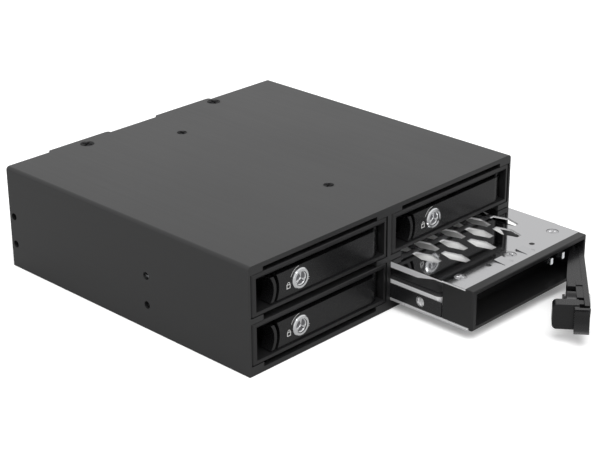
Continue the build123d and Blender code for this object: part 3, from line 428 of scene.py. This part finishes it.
# Painted glow: the front end of each pipe emits pale light of its own, with no lamp behind it.
clear_bar.feed("Emission Color", clear_bar.blend(painted_glow_ends, (0.0, 0.0, 0.0), (0.9, 0.93, 0.95)))
clear_bar.coat(*in_trays("light_pipes"))

# Locks: a chromed ring and barrel round a plug; the barrel's rear and the cam are dark.
# Over the keyway lies the key's seat, a round plate with three sunk pockets between the arms of a Y; the pockets are
# rougher and coloured dark grey, painted shade in the hollows.
lock_chrome = Finish("lock_chrome", (0.74, 0.75, 0.76), 0.14, 0.9)
lock_chrome.vary_roughness(0.06, 0.10, 1500.0)
lock_chrome.coat(*in_trays("lock_body", "lock_plug"))
# Painted shade: the sunk pockets are coloured 0.20 against the chrome's 0.74.
pocket_steel = Finish("pocket_steel", (0.20, 0.20, 0.21), 0.4, 0.8)
pocket_steel.vary_roughness(0.32, 0.16, 1500.0)


def key_seat(radius, depth, rings=30, sectors=96):
    """Points and faces of the key's seat, in millimetres; z points out of it.

    z = -depth p(r) q(t), where p(r) = 1 / ((1 + exp(-30 (u - 0.17))) (1 + exp(30 (u - 0.88)))) with
    u = r / radius, and q(t) = 1 / (1 + exp(-10 (0.65 - cos 3 (t - 210 degrees)))) leaves three arms.
    """
    turn = np.linspace(2 * np.pi, 0, sectors, endpoint=False)
    x, y = radius * np.cos(turn), radius * np.sin(turn)
    between = 1 / (1 + np.exp(-10 * (0.65 - np.cos(3 * (turn - np.radians(210.0))))))
    rows = []
    for share in np.linspace(0.02, 1.0, rings):
        pocket = 1 / ((1 + np.exp(-30 * (share - 0.17))) * (1 + np.exp(30 * (share - 0.88))))
        rows.append(np.stack([share * x, share * y, -depth * pocket * between], axis=-1))
    rows.append(np.stack([x, y, np.full(sectors, -0.48)], axis=-1))
    return np.concatenate(rows), grid_faces(len(rows), sectors)


def lock_axes(name):
    """Middle of a lock's plug in metres, and the directions across the lock, up and out of it."""
    plug = joints[f"plug_{name}_turn"]
    out = np.array(plug["axis"])
    return np.array(plug["pos_m"]), np.array([np.cross([0.0, 0.0, 1.0], out), [0.0, 0.0, 1.0], out])


axis_to_seat, barrel_start = 0.0046, 0.0030
pocket_floor, pocket_reach = -0.22, 2.6
seat_points, seat_faces = key_seat(2.66, 0.45)
sunk = [int(seat_points[list(face), 2].mean() < pocket_floor and np.hypot(*seat_points[face[0], :2]) < pocket_reach)
        for face in seat_faces]
for name in tray_names:
    middle, axes = lock_axes(name)
    seat = make_mesh(f"key_seat_{name}", middle + axes[2] * axis_to_seat + seat_points @ axes / 1000, seat_faces,
                     lock_chrome, f"plug_{name}", "lock_chrome", sharp=60.0)
    # The sunk faces take the painted shade of the pockets.
    seat.data.materials.append(pocket_steel.material)
    seat.data.polygons.foreach_set("material_index", sunk)
    for piece in (f"lock_body_{name}", f"lock_plug_{name}"):
        mesh = part_nodes[piece].data
        mesh.materials.append(oxide.material)
        centres = np.empty(len(mesh.polygons) * 3)
        mesh.polygons.foreach_get("center", centres)
        forward = (centres.reshape(-1, 3) - middle) @ axes[2]
        mesh.polygons.foreach_set("material_index", (forward < barrel_start).astype(np.int32))

# Lock signs: a padlock, an arc and two ticks, printed in white ink on each lever's face.
# They lie round the lock and turn with the lever. Places are in millimetres from the lock's middle.
sign_white = Finish("sign_white", (0.62, 0.62, 0.61), 0.5)
sign_white.vary_roughness(0.42, 0.16, 1500.0)


def arc_strip(centre, radii, angles, steps=20):
    """Flat strip from an outer to an inner radius round a centre (x, z), over angles in degrees."""
    turn = np.radians(np.linspace(*angles, steps))
    rows = [np.stack([centre[0] + r * np.cos(turn), centre[1] + r * np.sin(turn)], axis=-1) for r in radii]
    return np.concatenate(rows), grid_faces(2, steps, closed=False)


def bar(x, z, width, height):
    """Flat rectangle from its lower left corner (x, z)."""
    return np.array([(x, z), (x + width, z), (x + width, z + height), (x, z + height)]), [(0, 1, 2, 3)]


def thicken(plate, thickness):
    """Give a flat piece its thickness in metres, inwards from its face."""
    plate.data.shade_flat()
    layer = plate.modifiers.new("thickness", "SOLIDIFY")
    layer.thickness, layer.offset = thickness, -1.0


arc_and_ticks = [arc_strip((0, 0), (5.03, 4.85), (96, 158)), bar(4.15, -1.25, 0.6, 0.2), bar(4.0, -1.95, 0.6, 0.2)]
padlock = [bar(-6.75, -2.25, 1.9, 0.3), bar(-6.75, -0.85, 1.9, 0.3), bar(-6.75, -1.95, 0.32, 1.1),
           bar(-5.17, -1.95, 0.32, 1.1), arc_strip((-5.8, -0.45), (0.72, 0.5), (-8, 188))]
sign_points, sign_faces = joined(arc_and_ticks + padlock)
axis_to_face, ink_lift, ink_thickness = 0.0042, 0.00002, 0.000015
for name in tray_names:
    middle, axes = lock_axes(name)
    places = middle + axes[2] * (axis_to_face + ink_lift) + sign_points @ axes[:2] / 1000
    sign = make_mesh(f"lock_signs_{name}", places, sign_faces, sign_white, f"lever_{name}", "lever_plastic")
    thicken(sign, ink_thickness)

# Drive in the open tray: cast aluminium case, with a lacquered steel cover pressed over its upper edge.
# The plug at its rear is moulded in black nylon, as the board's connectors are.
cast_case = Finish("drive_cast", (0.60, 0.60, 0.61), 0.42, 0.25)
lid_skirt = 0.0009
lid_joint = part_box("drive_case")[1][2] - lid_skirt
# Painted light: under the cover's edge the case is coloured 0.78, lighter than its cast metal, to make up for the shade
# of the tray around it; above the edge it takes the cover's dark lacquer.
cast_case.feed("Base Color", cast_case.blend(cast_case.along(2) > lid_joint, (0.78, 0.78, 0.79), (0.035, 0.035, 0.037)))
cast_case.vary_roughness(0.36, 0.18, 700.0, 3.0)
cast_case.coat("drive_case")
drive_lid = Finish("drive_lid", (0.05, 0.05, 0.052), 0.30, 0.6)
drive_lid.vary_roughness(0.24, 0.14, (300.0, 20.0, 300.0))
drive_lid.coat("drive_cover")
nylon.coat("drive_plug")

# Drive label: plain pale paper, glued over the raised field of the drive's cover.
# Its outline is a half disc in front and a square behind.
label_paper = Finish("label_paper", (0.86, 0.86, 0.85), 0.45)
label_paper.vary_roughness(0.40, 0.12, 500.0)
(x0, y0, _), (x1, y1, z1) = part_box("drive_cover")
disc_radius, disc_flat, square_half, rear_margin = 0.0308, 0.0303, 0.0294, 0.0050
label_middle, disc_middle, row_count = (x0 + x1) / 2, y0 + 0.0349, 60
label_rows = np.linspace(disc_middle - disc_flat, y1 - rear_margin, row_count)
disc_half = np.sqrt(disc_radius ** 2 - np.minimum(label_rows - disc_middle, 0.0) ** 2)
label_half = np.minimum(disc_half, square_half)
paper_thickness, paper_top = 0.000025, z1 + 0.00003
label_points = np.stack([np.stack([label_middle - label_half, label_middle + label_half], axis=-1),
                         np.repeat(label_rows[:, None], 2, axis=1), np.full((row_count, 2), paper_top)], axis=-1)
label = make_mesh("drive_label", label_points.reshape(-1, 3), grid_faces(row_count, 2, closed=False), label_paper,
                  "tray_lower_right", "drive_steel")
thicken(label, paper_thickness)

# Studio: a pale matt floor that keeps the shadows, a white surround and one large soft lamp.
# The camera sees the floor nearly white; the part's own surfaces see it as a grey card.
floor_mesh = bpy.data.meshes.new("floor")
corner, floor_height = 4.0, -0.0002
floor_mesh.from_pydata([(-corner, -corner, floor_height), (corner, -corner, floor_height),
                        (corner, corner, floor_height), (-corner, corner, floor_height)], [], [(0, 1, 2, 3)])
floor = bpy.data.objects.new("floor", floor_mesh)
bpy.context.scene.collection.objects.link(floor)
floor_paint = Finish("floor_paint", (0.86, 0.86, 0.86), 0.9, Specular_IOR_Level=0.0, Emission_Strength=0.12)
seen = floor_paint.node("ShaderNodeLightPath", output="Is Camera Ray")
floor_paint.feed("Base Color", floor_paint.blend(seen, (0.45, 0.45, 0.45), (1.0, 1.0, 1.0)))
floor_paint.feed("Emission Color", floor_paint.blend(seen, (0.0, 0.0, 0.0), (1.0, 1.0, 1.0)))
floor_mesh.materials.append(floor_paint.material)

world = bpy.data.worlds.new("studio")
bpy.context.scene.world = world
world.use_nodes = True
sky = world.node_tree.nodes["Background"]
sky_ray = world.node_tree.nodes.new("ShaderNodeLightPath")
direct = world.node_tree.nodes.new("ShaderNodeMath")
direct.operation = "MAXIMUM"
world.node_tree.links.new(sky_ray.outputs["Is Camera Ray"], direct.inputs[0])
world.node_tree.links.new(sky_ray.outputs["Is Transmission Ray"], direct.inputs[1])
level = world.node_tree.nodes.new("ShaderNodeMapRange")
level.inputs["To Min"].default_value = 0.86
level.inputs["To Max"].default_value = 1.0
world.node_tree.links.new(direct.outputs[0], level.inputs["Value"])
world.node_tree.links.new(level.outputs["Result"], sky.inputs["Strength"])
sky.inputs["Color"].default_value = (1.0, 1.0, 1.0, 1.0)

lamp_data = bpy.data.lights.new("softbox", "AREA")
lamp_data.shape = "SQUARE"
lamp_data.size = 1.2
lamp_data.energy = 18.5
softbox = bpy.data.objects.new("softbox", lamp_data)
softbox.location = (-0.5, -0.6, 1.4)
softbox.rotation_mode = "QUATERNION"
softbox.rotation_quaternion = (Vector((0, 0, 0)) - softbox.location).to_track_quat("-Z", "Y")
bpy.context.scene.collection.objects.link(softbox)

# Camera: the photograph's place, found from the cage's edges. Angles are in radians, and lengths in metres.
# The frame is 600 pixels wide, and the focus is given in those pixels.
azimuth, elevation, roll = -0.7984, 0.414968, -0.006548
shift_right, shift_up, distance = 0.0169875, -0.006276, 0.6577675
focus_pixels, image_width = 1639.651, 600.0
target = np.array([0.0, 0.002, 0.020])
level_out = math.cos(elevation)
back = np.array([math.sin(azimuth) * level_out, -math.cos(azimuth) * level_out, math.sin(elevation)])
right = np.cross([0.0, 0.0, 1.0], back)
right = right / np.linalg.norm(right)
up = np.cross(back, right)
turned_right = math.cos(roll) * right + math.sin(roll) * up
turned_up = math.cos(roll) * up - math.sin(roll) * right
eye = target + back * distance + turned_right * shift_right + turned_up * shift_up
camera_data = bpy.data.cameras.new("camera")
camera_data.sensor_width = 36.0
camera_data.lens = focus_pixels * camera_data.sensor_width / image_width
camera_data.clip_start = 0.01
camera_data.clip_end = 50.0
camera = bpy.data.objects.new("camera", camera_data)
pose = np.eye(4)
pose[:3, 0], pose[:3, 1], pose[:3, 2], pose[:3, 3] = turned_right, turned_up, back, eye
camera.matrix_world = Matrix(pose.tolist())
bpy.context.scene.collection.objects.link(camera)
bpy.context.scene.camera = camera
bpy.context.scene.view_settings.view_transform = "Standard"
